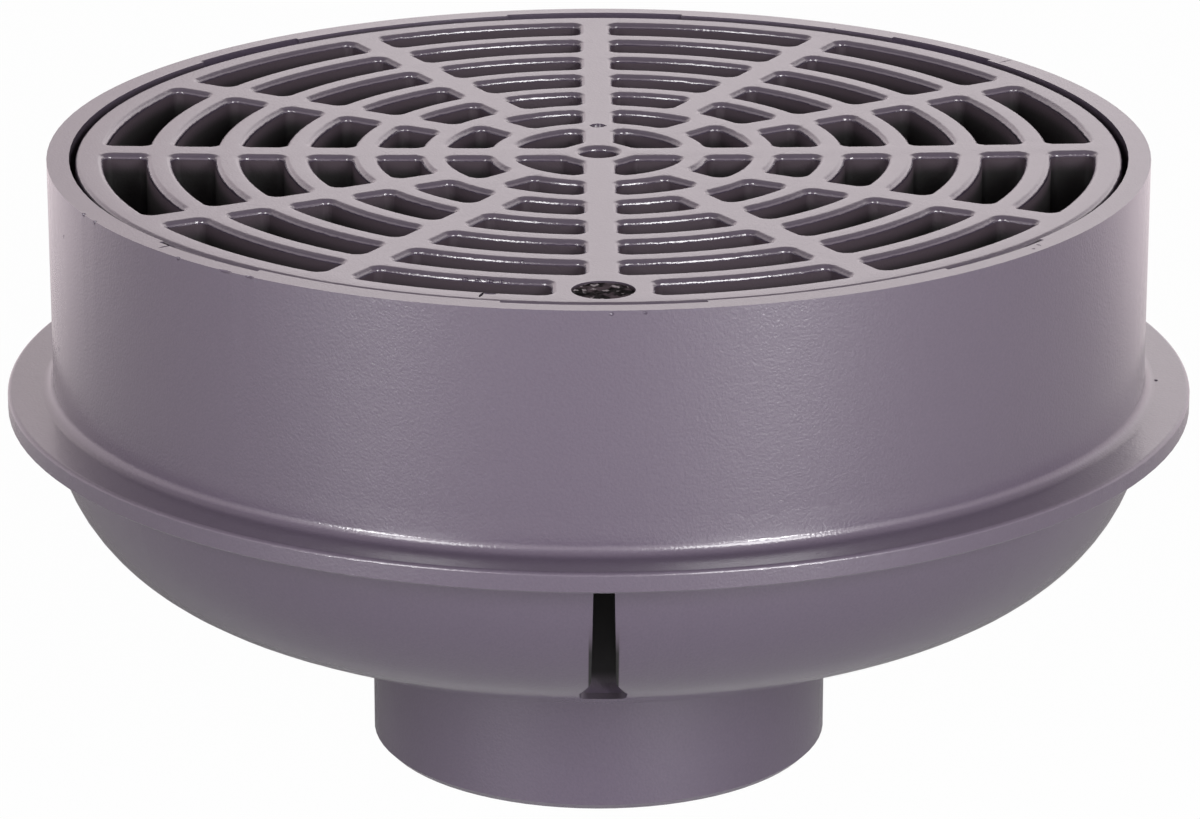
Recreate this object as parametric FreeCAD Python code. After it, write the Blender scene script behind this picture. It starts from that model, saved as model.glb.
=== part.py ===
"""Floor drain: a one-piece cast body with collar, flange, bowl and outlet, a slotted grate and its screw."""
import FreeCAD
import Part
import math
import os

V = FreeCAD.Vector
UP = V(0, 0, 1)

# Driving dimensions in millimetres. The outlet's end is at z = 0 and the screw is on the -Y side.
overall_height = 115.0
collar_radius = 101.6        # 8 inch across
collar_wall = 4.1            # rim beside the grate
body_wall = 5.0
collar_root_round = 1.0      # where the collar meets the flange
flange_radius = 110.1
flange_top = 71.3
flange_thickness = 3.7
flange_edge_chamfer = 0.3

bowl_radius = 102.2          # under the flange, before the bowl turns in
bowl_shoulder_z = 46.8       # where the wall and the sloping side would meet if not rounded
bowl_slope = 65.2            # degrees from upright
bowl_base_z = 26.8
bowl_shoulder_round = 32.2
bowl_base_round = 70.0

outlet_radius = 42.8         # plain end for 3 inch pipe
outlet_bore_radius = 38.0
outlet_neck_round = 4.0
outlet_end_chamfer = 1.2

seat_radius = 92.5           # inner edge of the ledge that the grate rests on
seat_thickness = 5.0
relief_depth = 0.9           # shallow set-backs in the collar's inner wall
relief_height = 4.0
front_relief_half_angle = 10.3
side_relief_half_angle = 7.3
side_relief_angle = 44.3     # from the front and from the back

lug_half_width = 8.9
lug_inner_radius = 79.5
lug_height = 10.0
screw_circle_radius = 88.3
screw_radius = 3.1           # 1/4 inch
thread_clearance = 0.1

groove_top_width = 3.6       # blind groove down the front of the bowl
groove_foot_width = 4.4
groove_flare_width = 8.4
groove_foot_z = 44.2
groove_flare_z = 40.9
groove_end_z = 37.9
groove_end_inset = 0.3       # the flare narrows by this much at its end
groove_bell_round = 3.5      # where the straight sides turn out into the flare
groove_flare_round = 0.8
groove_end_round = 1.4
groove_floor_top_radius = 84.0
groove_floor_foot_radius = 80.0
groove_backing = 6.0         # metal left behind the groove
rib_root = 1.0               # how far the rib's root reaches into the wall

grate_gap = 1.0
grate_thickness = 12.7       # at its rim
grate_recess = 0.35          # the rim lies this far below the collar's edge
grate_dish = 0.8             # the middle lies this far below the rim
grate_edge_round = 1.0
grate_draft = 0.4            # the rim is this much smaller at the bottom
slot_pitch = 12.6
slot_width = 7.9
outer_slot_radius = 87.3     # middle of the outermost ring of slots
bar_width = 6.3
slot_corner = 1.6
slot_edge_round = 1.05
slot_rings = (12, 12, 12, 12, 12, 8)   # slots in each ring, from the outside in
petal_radius = 15.7
hub_flat = 7.0               # from the middle to the petals' flat inner side
hub_hole_radius = 3.45
dimple_radius = 1.4
dimple_depth = 0.35
dimple_place = 17.8          # behind the middle

screw_head_radius = 5.1
screw_head_height = 4.2
screw_chamfer = 0.8
screw_sunk = 0.7
screw_length = 28.0
screw_slot_width = 1.5
screw_slot_depth = 1.6
counterbore_radius = 5.5
screw_hole_radius = 3.6

# Worked out from the above
flange_bottom = flange_top - flange_thickness
rebate_radius = collar_radius - collar_wall
cavity_radius = collar_radius - body_wall
grate_radius = rebate_radius - grate_gap
grate_top = overall_height - grate_recess
seat_z = grate_top - grate_thickness
dish_radius = (grate_radius**2 + grate_dish**2) / (2 * grate_dish)
head_top = grate_top - screw_sunk
head_bottom = head_top - screw_head_height


def rounded_face(corners):
    """Face in the XZ plane with corners (x, z, round)."""
    ends = []
    for i, (x, z, radius) in enumerate(corners):
        here = V(x, 0, z)
        before = V(corners[i - 1][0] - x, 0, corners[i - 1][1] - z).normalize()
        following = corners[(i + 1) % len(corners)]
        after = V(following[0] - x, 0, following[1] - z).normalize()
        if radius == 0:
            ends.append((here, None, here))
            continue
        half_angle = before.getAngle(after) / 2
        run = radius / math.tan(half_angle)
        middle = (before + after).normalize()
        arc_top = here + middle * (radius / math.sin(half_angle) - radius)
        ends.append((here + before * run, arc_top, here + after * run))
    edges = []
    for i, (start, arc_top, stop) in enumerate(ends):
        if arc_top is not None:
            edges.append(Part.Arc(start, arc_top, stop).toShape())
        next_start = ends[(i + 1) % len(ends)][0]
        if stop.distanceToPoint(next_start) > 1e-6:
            edges.append(Part.LineSegment(stop, next_start).toShape())
    return Part.Face(Part.Wire(edges))


def turned(corners):
    """Solid of revolution about Z of a section given as corners (radius, z, round)."""
    return rounded_face(corners).revolve(V(0, 0, 0), UP, 360)


def sharp(*points):
    return [(r, z, 0) for r, z in points]


def bowl_corners(inset):
    """The two corners of the bowl's side, the whole wall moved in by inset."""
    slope = math.radians(bowl_slope)
    shoulder_z = bowl_shoulder_z + inset * math.tan(slope / 2)
    base = bowl_base_z + inset
    base_r = bowl_radius + (math.sin(slope) * (base - bowl_shoulder_z) - inset) / math.cos(slope)
    return [
        (bowl_radius - inset, shoulder_z, bowl_shoulder_round - inset),
        (base_r, base, bowl_base_round - inset),
    ]


def front_slab(half_width):
    """Upright slab through the front half of the body."""
    return Part.makeBox(2 * half_width, flange_radius, overall_height, V(-half_width, -flange_radius, 0))


def sector(radius, half_angle, middle_angle, bottom, top):
    """Wedge about Z; middle_angle is measured from the front (-Y)."""
    wedge = Part.makeCylinder(radius, top - bottom, V(0, 0, bottom), UP, 2 * half_angle)
    wedge.rotate(V(0, 0, 0), UP, middle_angle - 90 - half_angle)
    return wedge


def body_outside():
    return turned(
        sharp((0, overall_height), (collar_radius, overall_height))
        + [(collar_radius, flange_top, collar_root_round)]
        + sharp(
            (flange_radius - flange_edge_chamfer, flange_top),
            (flange_radius, flange_top - flange_edge_chamfer),
            (flange_radius, flange_bottom + flange_edge_chamfer),
            (flange_radius - flange_edge_chamfer, flange_bottom),
            (bowl_radius, flange_bottom),
        )
        + bowl_corners(0)
        + [(outlet_radius, bowl_base_z, outlet_neck_round)]
        + sharp((outlet_radius, outlet_end_chamfer), (outlet_radius - outlet_end_chamfer, 0), (0, 0))
    )


def body_cavity():
    corbel_z = seat_z - seat_thickness
    return turned(
        sharp(
            (0, overall_height),
            (rebate_radius, overall_height),
            (rebate_radius, seat_z),
            (seat_radius, seat_z),
            (seat_radius, corbel_z),
            (cavity_radius, corbel_z - (cavity_radius - seat_radius)),
        )
        + [(cavity_radius, flange_top, 0)]
        + bowl_corners(body_wall)
        + [(outlet_bore_radius, bowl_base_z + body_wall, outlet_neck_round)]
        + sharp((outlet_bore_radius, 0), (0, 0))
    )


def collar_reliefs():
    """Six shallow set-backs in the collar's inner wall: front, back and two on each side."""
    places = [(0, front_relief_half_angle), (180, front_relief_half_angle)]
    for angle in (side_relief_angle, 180 - side_relief_angle):
        places += [(angle, side_relief_half_angle), (-angle, side_relief_half_angle)]
    bottom = overall_height - relief_height
    wedges = [sector(rebate_radius + relief_depth, half, angle, bottom, overall_height) for angle, half in places]
    return Part.makeCompound(wedges)


def screw_lug():
    """Lug under the grate's screw, with its underside sloped back to the wall."""
    slope = rebate_radius - lug_inner_radius
    block = turned(
        sharp(
            (lug_inner_radius, seat_z),
            (rebate_radius, seat_z),
            (rebate_radius, seat_z - lug_height - slope),
            (lug_inner_radius, seat_z - lug_height),
        )
    )
    return block.common(front_slab(lug_half_width))


def inside_line(top_radius, foot_radius):
    """Solid round the axis: straight down to the flange, then sloping in to the groove's foot."""
    return turned(
        sharp(
            (0, overall_height),
            (top_radius, overall_height),
            (top_radius, flange_bottom),
            (foot_radius, groove_end_z),
            (foot_radius, 0),
            (0, 0),
        )
    )


def groove():
    """Narrow groove under the flange: straight sides, and a foot that flares out as it runs out of the bowl."""
    top = groove_top_width / 2
    foot = groove_foot_width / 2
    flare = groove_flare_width / 2
    right = [
        (top, flange_bottom, 0),
        (foot, groove_foot_z, groove_bell_round),
        (flare, groove_flare_z, groove_flare_round),
        (flare - groove_end_inset, groove_end_z, groove_end_round),
    ]
    left = [(-x, z, radius) for x, z, radius in reversed(right)]
    face = rounded_face(right + left)
    floor = inside_line(groove_floor_top_radius, groove_floor_foot_radius)
    return face.extrude(V(0, -flange_radius, 0)).cut(floor)


def lug_rib():
    """Rib inside the bowl from the lug down; the groove outside is its hollow back."""
    inside = turned(
        sharp((0, seat_z), (cavity_radius, seat_z))
        + bowl_corners(body_wall - rib_root)
        + sharp((0, bowl_base_z + body_wall - rib_root))
    )
    hollow = inside_line(groove_floor_top_radius - groove_backing, groove_floor_foot_radius - groove_backing)
    return inside.cut(hollow).common(front_slab(lug_half_width))


def make_body():
    body = body_outside().cut(body_cavity())
    body = body.fuse([screw_lug(), lug_rib()])
    body = body.cut([groove(), collar_reliefs()])
    depth = lug_height + rebate_radius - lug_inner_radius
    tapped = Part.makeCylinder(screw_radius + thread_clearance, depth, V(0, -screw_circle_radius, seat_z - depth))
    return body.cut(tapped).removeSplitter()


def ring_slot(inner, outer, start, stop, start_gap, stop_gap):
    """Curved slot between two radii; each side runs along a ray at that angle, moved in by its gap."""

    def on_ray(radius, angle, gap):
        return math.radians(angle) + math.asin(gap / radius)

    arcs = []
    for radius in (inner, outer):
        first = on_ray(radius, start, start_gap)
        last = on_ray(radius, stop, -stop_gap)
        arcs.append([V(radius * math.cos(a), radius * math.sin(a), 0) for a in (first, (first + last) / 2, last)])
    (a0, a1, a2), (b0, b1, b2) = arcs
    edges = [
        Part.Arc(a0, a1, a2).toShape(),
        Part.LineSegment(a2, b2).toShape(),
        Part.Arc(b2, b1, b0).toShape(),
        Part.LineSegment(b0, a0).toShape(),
    ]
    return Part.Face(Part.Wire(edges))


def petal():
    """Slot in the first quarter round the hub: two bars, an outer arc and a flat side towards the hub."""
    gap = bar_width / 2
    along = math.sqrt(petal_radius**2 - gap**2)
    reach = hub_flat * math.sqrt(2) - gap
    middle = petal_radius / math.sqrt(2)
    edges = [
        Part.LineSegment(V(reach, gap, 0), V(along, gap, 0)).toShape(),
        Part.Arc(V(along, gap, 0), V(middle, middle, 0), V(gap, along, 0)).toShape(),
        Part.LineSegment(V(gap, along, 0), V(gap, reach, 0)).toShape(),
        Part.LineSegment(V(gap, reach, 0), V(reach, gap, 0)).toShape(),
    ]
    return Part.Face(Part.Wire(edges))


def slot_prism(face):
    """Slot through the grate with its upright corners rounded."""
    prism = face.extrude(V(0, 0, grate_thickness))
    upright = [e for e in prism.Edges if abs(e.tangentAt(e.FirstParameter).z) > 0.99]
    prism = prism.makeFillet(slot_corner, upright)
    prism.translate(V(0, 0, seat_z))
    return prism


def grate_slots():
    half_bar = bar_width / 2
    faces = []
    for ring, count in enumerate(slot_rings):
        middle = outer_slot_radius - ring * slot_pitch
        step = 360 / count
        for i in range(count):
            start = -90 + i * step
            first = ring == 0 and i == 0
            last = ring == 0 and i == count - 1
            faces.append(
                ring_slot(
                    middle - slot_width / 2,
                    middle + slot_width / 2,
                    start,
                    start + step,
                    lug_half_width if first else half_bar,
                    lug_half_width if last else half_bar,
                )
            )
    for quarter in range(4):
        face = petal()
        face.rotate(V(0, 0, 0), UP, 90 * quarter)
        faces.append(face)
    return [slot_prism(face) for face in faces]


def dished_face(plate):
    return max((f for f in plate.Faces if isinstance(f.Surface, Part.Sphere)), key=lambda f: f.Area)


def dished_plate():
    """Round plate with a shallow dish in its top and a rounded rim."""
    plate = turned(
        sharp((0, seat_z), (grate_radius - grate_draft, seat_z), (grate_radius, grate_top), (0, grate_top))
    )
    plate = plate.cut(Part.makeSphere(dish_radius, V(0, 0, grate_top - grate_dish + dish_radius)))
    top = dished_face(plate)
    rim = [e for e in top.Edges if not e.isSeam(top)]
    return plate.makeFillet(grate_edge_round, rim)


def rounded_openings(plate):
    """Rounds the top edges of every opening in the plate."""
    top = dished_face(plate)
    reach = outer_slot_radius + slot_width / 2 + slot_corner
    edges = [e for e in top.Edges if not e.isSeam(top) and math.hypot(e.Vertexes[0].X, e.Vertexes[0].Y) < reach]
    return plate.makeFillet(slot_edge_round, edges)


def make_grate():
    hub_hole = Part.makeCylinder(hub_hole_radius, grate_thickness, V(0, 0, seat_z))
    plate = rounded_openings(dished_plate().cut(grate_slots() + [hub_hole]))
    screw_place = V(0, -screw_circle_radius, seat_z)
    counterbore = Part.makeCylinder(counterbore_radius, grate_thickness, V(0, -screw_circle_radius, head_bottom))
    screw_hole = Part.makeCylinder(screw_hole_radius, grate_thickness, screw_place)
    dimple_floor = grate_top - grate_dish - dimple_depth
    dimple = Part.makeCylinder(dimple_radius, grate_dish, V(0, dimple_place, dimple_floor))
    return plate.cut([counterbore, screw_hole, dimple])


def make_screw():
    centre = V(0, -screw_circle_radius, 0)
    tip = head_bottom - screw_length
    screw = turned(
        sharp(
            (0, head_top),
            (screw_head_radius - screw_chamfer, head_top),
            (screw_head_radius, head_top - screw_chamfer),
            (screw_head_radius, head_bottom),
            (screw_radius, head_bottom),
            (screw_radius, tip + screw_chamfer),
            (screw_radius - screw_chamfer, tip),
            (0, tip),
        )
    )
    slot = Part.makeBox(
        2 * screw_head_radius,
        screw_slot_width,
        screw_slot_depth,
        V(-screw_head_radius, -screw_slot_width / 2, head_top - screw_slot_depth),
    )
    screw = screw.cut(slot)
    screw.translate(centre)
    return screw


parts = {"body": make_body(), "grate": make_grate(), "grate_screw": make_screw()}

os.makedirs("parts", exist_ok=True)
for name, shape in parts.items():
    print(name, "valid", shape.isValid(), "solids", len(shape.Solids), "volume cm3", round(shape.Volume / 1000, 1))
    shape.exportStep(f"parts/{name}.step")
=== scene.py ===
"""Floor drain: the looks of its cast body, slotted grate and screw, on a white studio floor."""
import math

import bpy
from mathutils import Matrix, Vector


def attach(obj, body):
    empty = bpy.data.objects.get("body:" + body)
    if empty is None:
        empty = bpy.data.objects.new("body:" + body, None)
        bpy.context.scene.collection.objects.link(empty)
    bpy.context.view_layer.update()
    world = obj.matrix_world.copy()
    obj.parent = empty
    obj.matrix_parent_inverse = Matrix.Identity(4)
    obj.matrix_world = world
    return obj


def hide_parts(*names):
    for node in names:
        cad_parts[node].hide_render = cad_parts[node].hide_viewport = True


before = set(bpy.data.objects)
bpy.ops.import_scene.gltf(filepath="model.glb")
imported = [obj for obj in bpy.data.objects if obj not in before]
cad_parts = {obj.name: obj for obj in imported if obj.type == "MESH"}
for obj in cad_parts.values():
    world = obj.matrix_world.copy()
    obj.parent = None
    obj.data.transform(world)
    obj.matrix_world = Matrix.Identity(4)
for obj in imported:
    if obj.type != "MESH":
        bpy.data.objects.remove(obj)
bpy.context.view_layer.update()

# Camera, from the photograph's view of the rim, the flange and the outlet
aim = Vector((0, 0, 0.0635))
camera_distance = 1.0462
camera_elevation = math.radians(18.49)
camera_azimuth = math.radians(0.52)
camera_lens_mm = 167.27
camera_sensor_mm = 36
camera_shift = (0.00108, 0.00042)

# Floor and sky, in metres and as strengths where 1 is white
floor_size = 12.0
floor_shadow = 0.015         # share of the floor's own shading that the camera sees
floor_near = 0.09            # painted shadow, seen only in the paint's reflections: round the outlet the mirrored floor is darkened and is full white again from here on
floor_far = 0.42             # and is out of it from here on
floor_near_glow = 0.08
floor_front_glow = 0.48      # painted shade, seen only in the paint's reflections: the floor before the drain is dimmed, the backdrop's floor behind is not
floor_front_end = 0.08       # how far behind the drain's axis the dim part ends
floor_back_start = 0.26      # and the bright part starts
backdrop_white = "#fdeff4"   # as the paint mirrors it
sky_for_diffuse = 0.03
sky_low = 1.0
sky_high = 0.45
sky_low_edge = 0.40          # sine of the elevation where the pale backdrop ends
sky_high_edge = 0.56         # and the dimmer ceiling starts

# Lamps: name, azimuth from the camera's side, elevation, distance, width, height, watts
lamps = (
    ("back_softbox", 147, 20, 1.6, 2.4, 0.6, 1.6),     # sheen on the grate's flats
    ("left_softbox", -36, 24, 1.6, 0.45, 0.5, 6.5),    # bright lines along the slots' edges
    ("right_softbox", 31, 24, 1.6, 0.75, 0.5, 12.0),
    ("left_strip", -43, 1, 1.2, 0.2, 0.14, 3.5),       # upright pale bands on the collar and the outlet
    ("right_strip", 33, 1, 1.2, 0.2, 0.14, 4.4),
)

# Sizes of the castings that the paint and the flaws follow, in mm
collar_radius = 101.6
flange_radius = 110.1
flange_top = 71.3
root_round = 2.0             # run of paint in the corner between the collar and the flange's top
root_cover = 0.05            # how far that paint stands out from the collar
root_height = 2.0            # how high it covers the collar over the round
root_taper = 12.0            # and how high it thins out over that
lip_round = 0.8              # worn upper edge of the flange
sunk = 0.3                   # how deep a turned ring reaches into the casting
proud = 0.5                  # and how far a cutter stands out of it
arc_steps = 10
ring_steps = 360
grate_edge = 114.65          # top of the grate at its rim
grate_dish = 0.8             # how much lower its middle is
grate_radius = 96.5
screw_circle = 88.3
dent_unit = 1.0              # radius of the ball that a dent is scaled from
dent_jitter = 0.08           # how far its points are moved about
dirt_radius = 5.45
dirt_depth = 2.0
dirt_top = 114.4
dirt_sides = 64
rust_voxel = 0.15
rust_lump = 1.1
rust_depth = 0.7
weld = 0.001
smooth_angle = math.radians(38)

# Roughness of the paint on the flats and where it has run thick over an edge, and of the bare iron
paint_rough = 0.42
run_rough = 0.14
bare_rough = 0.7

# Soft edges of the bare places and of the painted shade in the hollows, in mm: where each starts, and where
# it is full
bore_radius = (97.7, 97.3)   # inside the collar
bore_foot = (68.0, 70.0)
bore_top = (114.8, 114.2)
groove_side = (2.8, 2.5)     # from the groove's middle
groove_wall = (101.6, 98.2)  # radius, inside the bowl's outer face
groove_foot = (37.5, 42.5)
groove_roof = (69.0, 67.0)
groove_front = (60.0, 65.0)  # before the drain's axis
slot_wall = (0.9, 1.15)      # depth below the grate's top, where the lap of thick paint ends
slot_painted_shade = (1.3, 4.2)       # painted shade: depth over which the bare wall is darkened to black
slot_run = (0.1, 0.5)        # depth over which the paint runs thick and glossy over a slot's edge
screw_side = (5.9, 5.6)      # from the middle of the screw's hole
screw_depth = (0.1, 0.4)

# Levels of the noise where the screw's dull patches and pale crumbs start, and where they are full
dull_patch = (0.47, 0.60)
pale_crumb = (0.56, 0.61)

# Flaws: radius, angle from the front (right is positive), height, then half sizes along, outwards, upwards
body_flaws = (
    (99.0, -50.0, 115.0, 0.25, 1.7, 0.5),
    (99.4, 49.8, 115.0, 0.2, 0.6, 0.2),
    (100.1, 48.4, 115.0, 0.3, 0.3, 0.25),
    (101.5, -64.5, 114.9, 0.6, 0.4, 0.4),
    (101.5, -61.6, 114.9, 0.5, 0.4, 0.5),
    (101.5, -46.2, 114.9, 0.5, 0.35, 0.4),
    (101.5, -39.6, 115.0, 1.6, 0.4, 0.4),
    (101.5, -36.5, 115.0, 1.1, 0.4, 0.35),
    (101.6, 0.7, 114.4, 0.5, 0.3, 0.3),
    (101.6, 3.9, 114.5, 0.4, 0.3, 0.3),
    (101.6, -75.9, 83.8, 0.35, 0.3, 0.4),
    (101.6, -71.4, 107.4, 0.35, 0.3, 0.4),
    (103.8, 86.2, 71.3, 0.6, 0.5, 0.3),
    (102.8, 84.2, 71.5, 0.6, 0.5, 0.4),
    (102.6, -78.4, 71.5, 0.6, 0.5, 0.4),
    (102.7, -74.8, 71.5, 0.5, 0.4, 0.4),
    (42.8, 87.0, 4.2, 0.4, 0.3, 0.4),
    (99.7, 126.8, 115.0, 0.2, 1.6, 0.3),
    (97.5, -170.3, 115.0, 0.4, 0.4, 0.4),
    (97.5, 169.8, 115.0, 0.4, 0.4, 0.4),
    (97.5, 150.8, 115.0, 0.5, 0.4, 0.4),
)
grate_flaws = (
    (93.4, -12.8, 114.6, 0.3, 1.4, 1.3),
    (92.4, -12.1, 114.6, 1.3, 0.5, 1.3),
    (83.2, -16.4, 113.9, 0.6, 0.35, 0.35),
    (83.2, -14.9, 114.0, 0.5, 0.35, 0.3),
    (83.2, -13.4, 113.9, 0.7, 0.35, 0.35),
    (83.2, -12.0, 114.0, 0.4, 0.3, 0.3),
    (91.4, -17.0, 114.5, 0.5, 0.4, 0.35),
    (91.4, -40.9, 114.5, 0.5, 0.4, 0.35),
    (78.7, -21.0, 114.4, 0.7, 0.35, 0.35),
    (78.7, -19.5, 114.4, 0.5, 0.35, 0.3),
    (70.7, -11.3, 113.9, 0.3, 0.3, 0.7),
    (84.0, 15.9, 114.45, 0.8, 0.3, 0.25),
    (17.7, 175.8, 113.6, 0.6, 0.6, 0.4),
    (17.9, -176.1, 113.6, 0.5, 0.7, 0.4),
    (17.2, 179.3, 113.6, 0.5, 0.4, 0.4),
)


def linear(hex_colour):
    """sRGB hex to linear RGBA."""
    parts = [int(hex_colour[i:i + 2], 16) / 255 for i in (1, 3, 5)]
    return [c / 12.92 if c <= 0.04045 else ((c + 0.055) / 1.055) ** 2.4 for c in parts] + [1.0]


def per_mm(size_mm):
    """Texture scale whose features are about this many millimetres across."""
    return 1000 / size_mm


def add(tree, kind, inputs=(), out=0, **settings):
    """Adds a node with its settings and links and gives its output; inputs are values or other outputs."""
    node = tree.nodes.new(kind)
    for name, value in settings.items():
        setattr(node, name, value)
    for socket, value in dict(inputs).items():
        if isinstance(value, bpy.types.NodeSocket):
            tree.links.new(value, node.inputs[socket])
        else:
            node.inputs[socket].default_value = value
    return node.outputs[out] if node.outputs else None


def new_material(name):
    material = bpy.data.materials.new(name)
    material.use_nodes = True
    material.node_tree.nodes.clear()
    return material, material.node_tree


def soft_mask(tree, edges):
    """1 inside all the soft edges and 0 outside any; an edge is a value, its start and its full end."""
    mask = 1.0
    for value, (start, full) in edges:
        step = add(tree, "ShaderNodeMapRange", {"Value": value, "From Min": start, "From Max": full},
                   interpolation_type="SMOOTHSTEP")
        mask = add(tree, "ShaderNodeMath", {0: mask, 1: step}, operation="MULTIPLY")
    return mask


def radius_and_height(tree, place):
    """Distance from the drain's axis and height over its foot, both in mm."""
    flat = add(tree, "ShaderNodeVectorMath", {0: place, 1: (1000, 1000, 0)}, operation="MULTIPLY")
    radius = add(tree, "ShaderNodeVectorMath", {0: flat}, "Value", operation="LENGTH")
    height = add(tree, "ShaderNodeVectorMath", {0: place, 1: (0, 0, 1000)}, "Value", operation="DOT_PRODUCT")
    return radius, height


def slot_walls(tree, place):
    """Where the grate's walls are bare, how far they are darkened towards black as painted shade, and the
    paint's roughness, less over an edge.
    """
    radius, height = radius_and_height(tree, place)
    share = add(tree, "ShaderNodeMath", {0: radius, 1: 1 / grate_radius}, operation="MULTIPLY")
    square = add(tree, "ShaderNodeMath", {0: share, 1: share}, operation="MULTIPLY")
    dished = {0: square, 1: grate_dish, 2: grate_edge - grate_dish}
    top = add(tree, "ShaderNodeMath", dished, operation="MULTIPLY_ADD")
    depth = add(tree, "ShaderNodeMath", {0: top, 1: height}, operation="SUBTRACT")
    screw = (0, -screw_circle / 1000, 0)
    offset = add(tree, "ShaderNodeVectorMath", {0: place, 1: screw}, operation="SUBTRACT")
    level = add(tree, "ShaderNodeVectorMath", {0: offset, 1: (1000, 1000, 0)}, operation="MULTIPLY")
    near = add(tree, "ShaderNodeVectorMath", {0: level}, "Value", operation="LENGTH")
    hole = soft_mask(tree, [(near, screw_side), (depth, screw_depth)])
    wall = soft_mask(tree, [(depth, slot_wall)])
    bare = add(tree, "ShaderNodeMath", {0: wall, 1: hole}, operation="MAXIMUM")
    run = soft_mask(tree, [(depth, slot_run)])
    gloss = add(tree, "ShaderNodeMapRange", {"Value": run, "To Min": paint_rough, "To Max": run_rough})
    return bare, soft_mask(tree, [(depth, slot_painted_shade)]), gloss


def body_hollows(tree, place):
    """Where the body is bare inside the collar and the groove, painted near black there as painted shade,
    and how rough its paint is.
    """
    radius, height = radius_and_height(tree, place)
    side = add(tree, "ShaderNodeVectorMath", {0: place, 1: (1000, 0, 0)}, "Value", operation="DOT_PRODUCT")
    aside = add(tree, "ShaderNodeMath", {0: side}, operation="ABSOLUTE")
    ahead = {0: place, 1: (0, -1000, 0)}
    forward = add(tree, "ShaderNodeVectorMath", ahead, "Value", operation="DOT_PRODUCT")
    bore = soft_mask(tree, [(radius, bore_radius), (height, bore_foot), (height, bore_top)])
    groove = soft_mask(tree, [
        (aside, groove_side), (radius, groove_wall), (height, groove_foot), (height, groove_roof),
        (forward, groove_front)])
    # bare iron there, painted near black as the shade deep in the collar and the groove
    bare_and_painted_shade = add(tree, "ShaderNodeMath", {0: bore, 1: groove}, operation="MAXIMUM")
    return bare_and_painted_shade, bare_and_painted_shade, paint_rough


def painted_cast_iron(name, hollows):
    """Grey semi-gloss paint over sand-cast iron: a fine grain, a soft sheen and low waves from the mould.

    The paint is thick on what faces out and thins to bare iron inside the slots and hollows, whose colour is
    darkened with depth to near black as painted shade. The sand's grain is drawn at half a millimetre,
    coarser than the real one, so that it shows."""
    material, tree = new_material(name)
    place = add(tree, "ShaderNodeTexCoord", out="Object")
    bare, painted_depth_shade, gloss = hollows(tree, place)
    grain = add(tree, "ShaderNodeTexNoise", {"Vector": place, "Scale": per_mm(0.5), "Detail": 3.0}, "Fac")
    waves = add(tree, "ShaderNodeTexNoise", {"Vector": place, "Scale": per_mm(4.0), "Detail": 2.0}, "Fac")
    fine = add(tree, "ShaderNodeBump", {"Height": grain, "Strength": 0.5, "Distance": 0.0001})
    uneven = add(tree, "ShaderNodeBump", {
        "Height": waves, "Strength": 0.08, "Distance": 0.0003, "Normal": fine})
    paints = {0: grain, 6: linear("#53485a"), 7: linear("#5f5466")}
    paint = add(tree, "ShaderNodeMix", paints, 2, data_type="RGBA")
    # painted shade: the bare iron goes from its own grey to near black with depth in the slots and hollows
    iron_to_painted_shade = {0: painted_depth_shade, 6: linear("#4c3f49"), 7: linear("#050405")}
    iron = add(tree, "ShaderNodeMix", iron_to_painted_shade, 2, data_type="RGBA")
    colour = add(tree, "ShaderNodeMix", {0: bare, 6: paint, 7: iron}, 2, data_type="RGBA")
    rough = add(tree, "ShaderNodeMix", {0: bare, 2: gloss, 3: bare_rough})
    film = add(tree, "ShaderNodeMapRange", {"Value": bare, "To Min": 1.0, "To Max": 0.0})
    shader = add(tree, "ShaderNodeBsdfPrincipled", {
        "Base Color": colour, "Roughness": rough, "IOR": 1.65, "Normal": uneven,
        "Coat Weight": film, "Coat Roughness": 0.14, "Coat IOR": 1.6, "Coat Normal": uneven})
    add(tree, "ShaderNodeOutputMaterial", {"Surface": shader})
    return material


def dark_steel(name):
    """Steel screw under years of rust and dirt: nearly black and dull, with a few pale crumbs."""
    material, tree = new_material(name)
    place = add(tree, "ShaderNodeTexCoord", out="Object")
    blotch = add(tree, "ShaderNodeTexNoise", {"Vector": place, "Scale": per_mm(3.0), "Detail": 4.0}, "Fac")
    crumb = add(tree, "ShaderNodeTexNoise", {"Vector": place, "Scale": per_mm(1.6), "Detail": 3.0}, "Fac")
    dull = soft_mask(tree, [(blotch, dull_patch)])
    pale = soft_mask(tree, [(crumb, pale_crumb)])
    rusts = {0: dull, 6: linear("#060405"), 7: linear("#5d5157")}
    rust = add(tree, "ShaderNodeMix", rusts, 2, data_type="RGBA")
    colour = add(tree, "ShaderNodeMix", {0: pale, 6: rust, 7: linear("#c4b9be")}, 2, data_type="RGBA")
    shader = add(tree, "ShaderNodeBsdfPrincipled", {
        "Base Color": colour, "Roughness": 0.85, "Specular IOR Level": 0.15})
    add(tree, "ShaderNodeOutputMaterial", {"Surface": shader})
    return material


def pick(piece):
    """Makes a piece the only one selected, and the active one."""
    bpy.ops.object.select_all(action="DESELECT")
    piece.select_set(True)
    bpy.context.view_layer.objects.active = piece


def merged_copy(node, name):
    """A node's own mesh as a new piece, with its loose triangles merged."""
    piece = bpy.data.objects.new(name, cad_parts[node].data.copy())
    bpy.context.scene.collection.objects.link(piece)
    pick(piece)
    bpy.ops.object.mode_set(mode="EDIT")
    bpy.ops.mesh.select_all(action="SELECT")
    bpy.ops.mesh.remove_doubles(threshold=weld / 1000)
    bpy.ops.object.mode_set(mode="OBJECT")
    bpy.ops.mesh.customdata_custom_splitnormals_clear()
    return piece


def cut_away(piece, cutter):
    """Takes the cutter's shape out of a piece."""
    pick(piece)
    cut = piece.modifiers.new("cut", "BOOLEAN")
    cut.operation = "DIFFERENCE"
    cut.solver = "MANIFOLD"
    cut.object = cutter
    bpy.ops.object.modifier_apply(modifier=cut.name)
    bpy.data.objects.remove(cutter)


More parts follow.
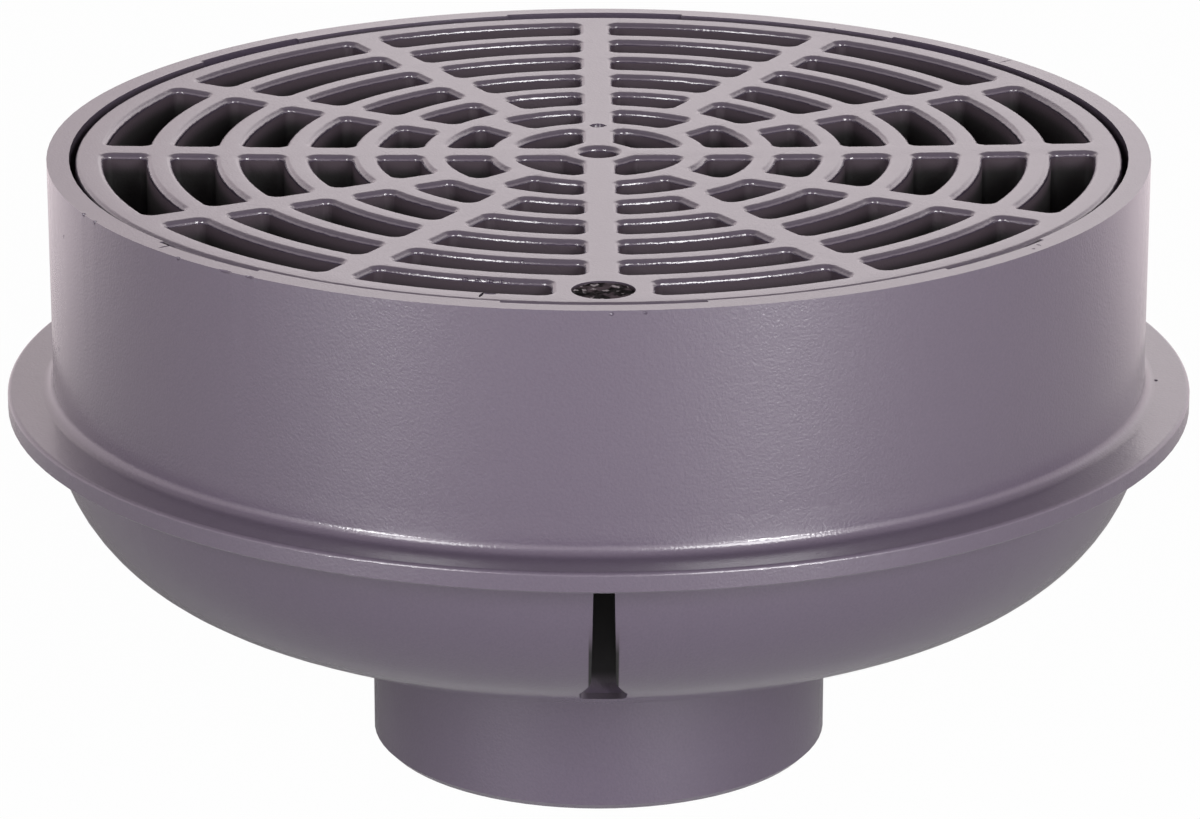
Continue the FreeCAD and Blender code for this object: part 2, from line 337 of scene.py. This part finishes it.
def cut_flaws(piece, flaws):
    """Cuts small uneven dents out of a piece, all with one cutter."""
    bpy.ops.object.select_all(action="DESELECT")
    dents = []
    for seed, (radius, angle, height, along, outwards, upwards) in enumerate(flaws):
        turn = math.radians(angle)
        middle = Vector((radius * math.sin(turn), -radius * math.cos(turn), height)) / 1000
        bpy.ops.mesh.primitive_ico_sphere_add(
            subdivisions=2, radius=dent_unit / 1000, location=middle, rotation=(0, 0, turn),
            scale=(along, outwards, upwards))
        bpy.ops.object.mode_set(mode="EDIT")
        bpy.ops.transform.vertex_random(offset=dent_jitter / 1000, seed=seed)
        bpy.ops.object.mode_set(mode="OBJECT")
        dents.append(bpy.context.object)
    for dent in dents:
        dent.select_set(True)
    bpy.ops.object.join()
    cut_away(piece, bpy.context.object)


def pack_dirt(piece):
    """Fills the hole over the screw's head with a plug of dirt, as one lumpy crust with the screw."""
    bpy.ops.object.select_all(action="DESELECT")
    middle = Vector((0, -screw_circle, dirt_top - dirt_depth / 2)) / 1000
    bpy.ops.mesh.primitive_cylinder_add(
        vertices=dirt_sides, radius=dirt_radius / 1000, depth=dirt_depth / 1000, location=middle)
    plug = bpy.context.object
    pick(piece)
    plug.select_set(True)
    bpy.ops.object.join()
    even = piece.modifiers.new("even_mesh", "REMESH")
    even.mode = "VOXEL"
    even.voxel_size = rust_voxel / 1000
    bpy.ops.object.modifier_apply(modifier=even.name)
    lumps = bpy.data.textures.new("rust_lumps", "CLOUDS")
    lumps.noise_scale = rust_lump / 1000
    lumps.noise_depth = 3
    eaten = piece.modifiers.new("rust", "DISPLACE")
    eaten.texture = lumps
    eaten.texture_coords = "LOCAL"
    eaten.mid_level = 1.0
    eaten.strength = rust_depth / 1000
    bpy.ops.object.modifier_apply(modifier=eaten.name)


def arc(middle, radius, start, end):
    """Points of a round in radius and height, from one angle to another in degrees."""
    steps = [math.radians(start + (end - start) * i / arc_steps) for i in range(arc_steps + 1)]
    return [(middle[0] + radius * math.cos(a), middle[1] + radius * math.sin(a)) for a in steps]


def turned_ring(name, outline):
    """Closed ring turned from an outline in radius and height, in mm."""
    mesh = bpy.data.meshes.new(name)
    points = [(radius / 1000, 0, height / 1000) for radius, height in outline]
    mesh.from_pydata(points, [(i, (i + 1) % len(points)) for i in range(len(points))], [])
    ring = bpy.data.objects.new(name, mesh)
    bpy.context.scene.collection.objects.link(ring)
    pick(ring)
    turn = ring.modifiers.new("turn", "SCREW")
    turn.axis = "Z"
    turn.steps = ring_steps
    turn.render_steps = ring_steps
    turn.use_merge_vertices = True
    bpy.ops.object.modifier_apply(modifier=turn.name)
    bpy.ops.object.mode_set(mode="EDIT")
    bpy.ops.mesh.select_all(action="SELECT")
    bpy.ops.mesh.remove_doubles(threshold=weld / 1000)
    bpy.ops.mesh.normals_make_consistent(inside=False)
    bpy.ops.object.mode_set(mode="OBJECT")
    return ring


def wear_lip(piece):
    """Rounds the flange's upper edge with a turned cutter."""
    lip = (flange_radius - lip_round, flange_top - lip_round)
    outer = (flange_radius + proud, flange_top + proud)
    outline = arc(lip, lip_round, 0, 90) + [(lip[0], outer[1]), outer, (outer[0], lip[1])]
    cut_away(piece, turned_ring("lip_cutter", outline))


def paint_in_root():
    """Run of paint that fills the corner of collar and flange and thins out up the collar."""
    covered = collar_radius + root_cover
    corner = (covered + root_round, flange_top + root_round)
    thick_top = corner[1] + root_height
    outline = [(collar_radius - sunk, thick_top + root_taper), (covered, thick_top)]
    outline += arc(corner, root_round, 180, 270)
    outline += [(collar_radius - sunk, flange_top - sunk)]
    return turned_ring("root_paint", outline)


def finish_piece(piece, material):
    """Smooths a piece, gives it its material and hangs it under the root body."""
    pick(piece)
    bpy.ops.object.shade_smooth_by_angle(angle=smooth_angle)
    even = piece.modifiers.new("even_normals", "WEIGHTED_NORMAL")
    even.keep_sharp = True
    bpy.ops.object.modifier_apply(modifier=even.name)
    piece.data.materials.clear()
    piece.data.materials.append(material)
    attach(piece, "root")


def seen_ray(tree):
    """1 where a camera, glossy or transmission ray looks, 0 for the light that falls on the object."""
    path = add(tree, "ShaderNodeLightPath").node.outputs
    pair = {0: path["Is Camera Ray"], 1: path["Is Glossy Ray"]}
    seen = add(tree, "ShaderNodeMath", pair, operation="MAXIMUM")
    return add(tree, "ShaderNodeMath", {0: seen, 1: path["Is Transmission Ray"]}, operation="MAXIMUM")


def white_floor():
    """Matt floor, white to the camera; in the paint's reflections it carries a painted shadow round the
    drain and painted shade before it.
    """
    bpy.ops.mesh.primitive_plane_add(size=floor_size, location=(0, 0, 0))
    floor = bpy.context.object
    floor.name = "studio_floor"
    material, tree = new_material("matt_white_floor")
    place = add(tree, "ShaderNodeTexCoord", out="Object")
    away = add(tree, "ShaderNodeVectorMath", {0: place}, "Value", operation="LENGTH")
    # painted shadow round the drain and painted shade before it, seen only by glossy and transmission rays
    shadow = add(tree, "ShaderNodeMapRange", {
        "Value": away, "From Min": floor_near, "From Max": floor_far, "To Min": floor_near_glow,
        "To Max": 1.0})
    behind = add(tree, "ShaderNodeVectorMath", {0: place, 1: (0, 1, 0)}, "Value", operation="DOT_PRODUCT")
    painted_front_shade = add(tree, "ShaderNodeMapRange", {
        "Value": behind, "From Min": floor_front_end, "From Max": floor_back_start,
        "To Min": floor_front_glow}, interpolation_type="SMOOTHSTEP")
    painted_shade_in_reflections = add(tree, "ShaderNodeMath", {0: shadow, 1: painted_front_shade}, operation="MULTIPLY")
    direct = add(tree, "ShaderNodeLightPath", out="Is Camera Ray")
    white = add(tree, "ShaderNodeMix", {0: direct, 2: painted_shade_in_reflections, 3: 1 - floor_shadow})
    tints = {0: direct, 6: linear(backdrop_white), 7: linear("#ffffff")}
    tint = add(tree, "ShaderNodeMix", tints, 2, data_type="RGBA")
    share = add(tree, "ShaderNodeMath", {0: seen_ray(tree), 1: white}, operation="MULTIPLY")
    matt = add(tree, "ShaderNodeBsdfDiffuse", {"Color": (0.8, 0.8, 0.8, 1)})
    glow = add(tree, "ShaderNodeEmission", {"Color": tint, "Strength": 1.0})
    mix = add(tree, "ShaderNodeMixShader", {0: share, 1: matt, 2: glow})
    add(tree, "ShaderNodeOutputMaterial", {"Surface": mix})
    floor.data.materials.append(material)


def studio_sky():
    """Pale backdrop round the horizon, dimmer ceiling above it, and an even fill for the diffuse light."""
    world = bpy.data.worlds.new("studio")
    world.use_nodes = True
    tree = world.node_tree
    tree.nodes.clear()
    direction = add(tree, "ShaderNodeTexCoord", out="Generated")
    height = add(tree, "ShaderNodeSeparateXYZ", {0: direction}, "Z")
    seen = add(tree, "ShaderNodeMapRange", {
        "Value": height, "From Min": sky_low_edge, "From Max": sky_high_edge, "To Min": sky_low,
        "To Max": sky_high}, interpolation_type="SMOOTHSTEP")
    strength = add(tree, "ShaderNodeMix", {0: seen_ray(tree), 2: sky_for_diffuse, 3: seen})
    glow = add(tree, "ShaderNodeBackground", {"Color": linear(backdrop_white), "Strength": strength})
    add(tree, "ShaderNodeOutputWorld", {"Surface": glow})
    bpy.context.scene.world = world


def softbox(name, azimuth, elevation, distance, width, height, watts):
    """Rectangular area lamp that faces the aim point; a positive azimuth is to the right."""
    az = math.radians(azimuth)
    el = math.radians(elevation)
    lamp = bpy.data.lights.new(name, "AREA")
    lamp.shape = "RECTANGLE"
    lamp.size = width
    lamp.size_y = height
    lamp.energy = watts
    holder = bpy.data.objects.new(name, lamp)
    bpy.context.scene.collection.objects.link(holder)
    way = Vector((math.sin(az) * math.cos(el), -math.cos(az) * math.cos(el), math.sin(el)))
    holder.location = aim + way * distance
    holder.rotation_euler = way.to_track_quat("Z", "Y").to_euler()


def photo_camera():
    lens = bpy.data.cameras.new("photo_view")
    lens.sensor_fit = "HORIZONTAL"
    lens.sensor_width = camera_sensor_mm
    lens.lens = camera_lens_mm
    lens.shift_x, lens.shift_y = camera_shift
    camera = bpy.data.objects.new("photo_view", lens)
    bpy.context.scene.collection.objects.link(camera)
    way = Vector((
        -math.sin(camera_azimuth) * math.cos(camera_elevation),
        -math.cos(camera_azimuth) * math.cos(camera_elevation),
        math.sin(camera_elevation)))
    camera.location = aim + way * camera_distance
    camera.rotation_euler = way.to_track_quat("Z", "Y").to_euler()
    bpy.context.scene.camera = camera


bpy.ops.object.select_all(action="DESELECT")
body_paint = painted_cast_iron("painted_cast_iron", body_hollows)
drain_body = merged_copy("body", "drain_body")
wear_lip(drain_body)
cut_flaws(drain_body, body_flaws)
finish_piece(drain_body, body_paint)
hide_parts("body")
finish_piece(paint_in_root(), body_paint)
slotted_grate = merged_copy("grate", "slotted_grate")
cut_flaws(slotted_grate, grate_flaws)
finish_piece(slotted_grate, painted_cast_iron("painted_grate_iron", slot_walls))
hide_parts("grate")
worn_screw = merged_copy("grate_screw", "worn_screw")
pack_dirt(worn_screw)
finish_piece(worn_screw, dark_steel("dark_steel"))
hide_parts("grate_screw")

white_floor()
studio_sky()
for lamp_row in lamps:
    softbox(*lamp_row)
photo_camera()
bpy.context.scene.view_settings.view_transform = "Standard"
